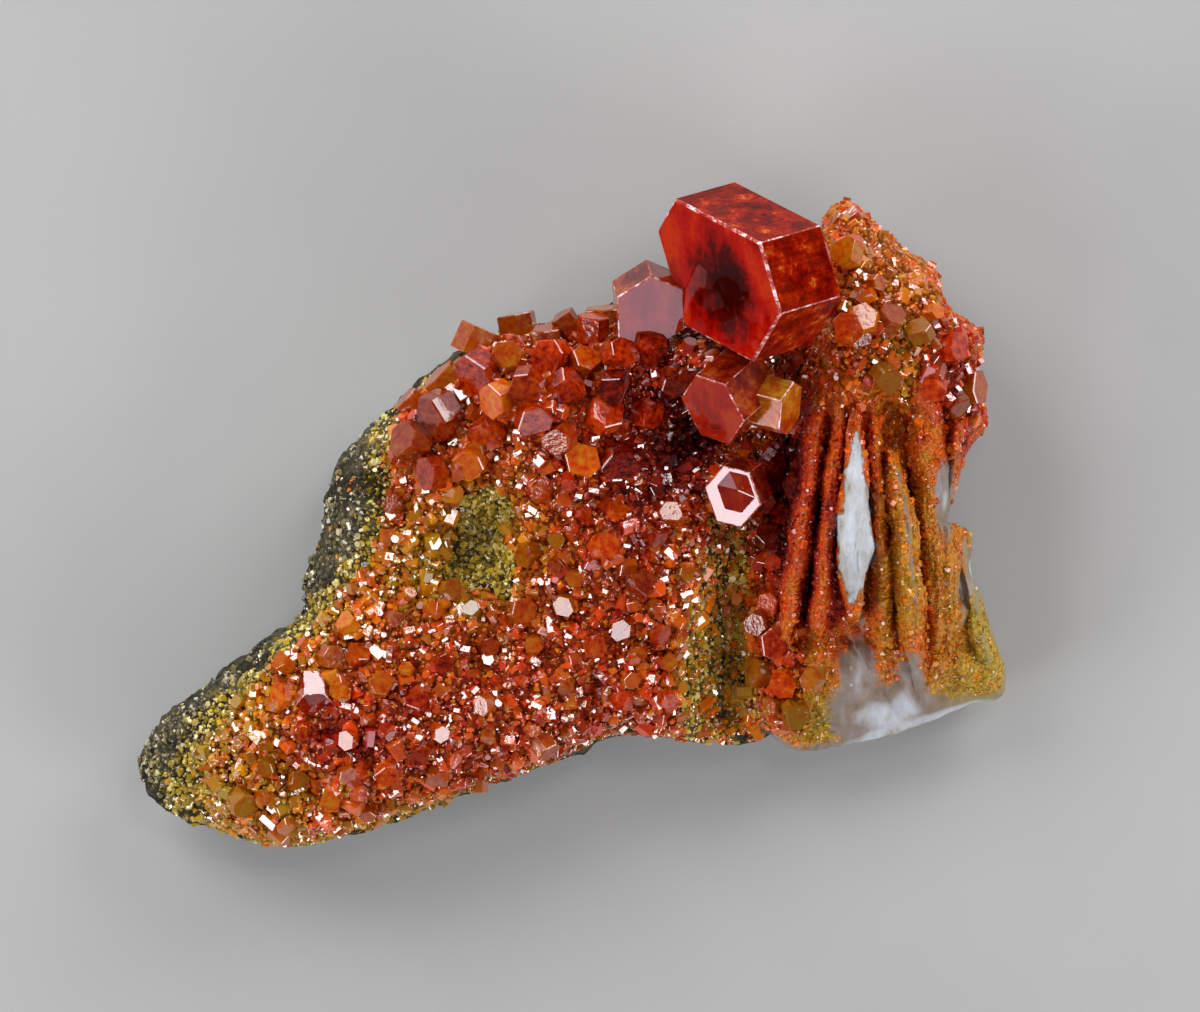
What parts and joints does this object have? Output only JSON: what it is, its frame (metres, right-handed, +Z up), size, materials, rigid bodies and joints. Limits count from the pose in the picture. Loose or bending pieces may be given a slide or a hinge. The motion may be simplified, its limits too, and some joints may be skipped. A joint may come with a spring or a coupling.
{
  "type": "vanadinite crystals on matrix",
  "caption": "Mineral specimen: red-orange hexagonal vanadinite crystals on a dark rock plate with a fan of pale barite blades at one end; a display piece.",
  "frame": {"origin": "middle of the specimen's bounding box, on the surface that it rests on", "axes": "+X along the length, from the thin rock tip to the barite end; +Y towards the edge with the large crystal; +Z up, out of the crystallised side"},
  "size_m": [0.0704, 0.0534, 0.0269],
  "materials": {
    "rock": "dark olive-brown rock with a fine sparkling druse",
    "barite": "cream to white barite, coated amber and orange between the blades",
    "crust": "glossy red-orange to amber vanadinite crystals",
    "crystal": "glossy deep red, translucent vanadinite"
  },
  "bodies": {
    "root": {"matrix_rock": "rock", "barite_blades": "barite", "vanadinite_crust": "crust", "flank_crust": "crust", "crest_crust": "crust", "large_crystal": "crystal", "tile_crystal": "crystal", "stepped_crystal": "crystal", "window_crystal": "crystal", "lone_crystal": "crystal"}
  },
  "joints": []
}
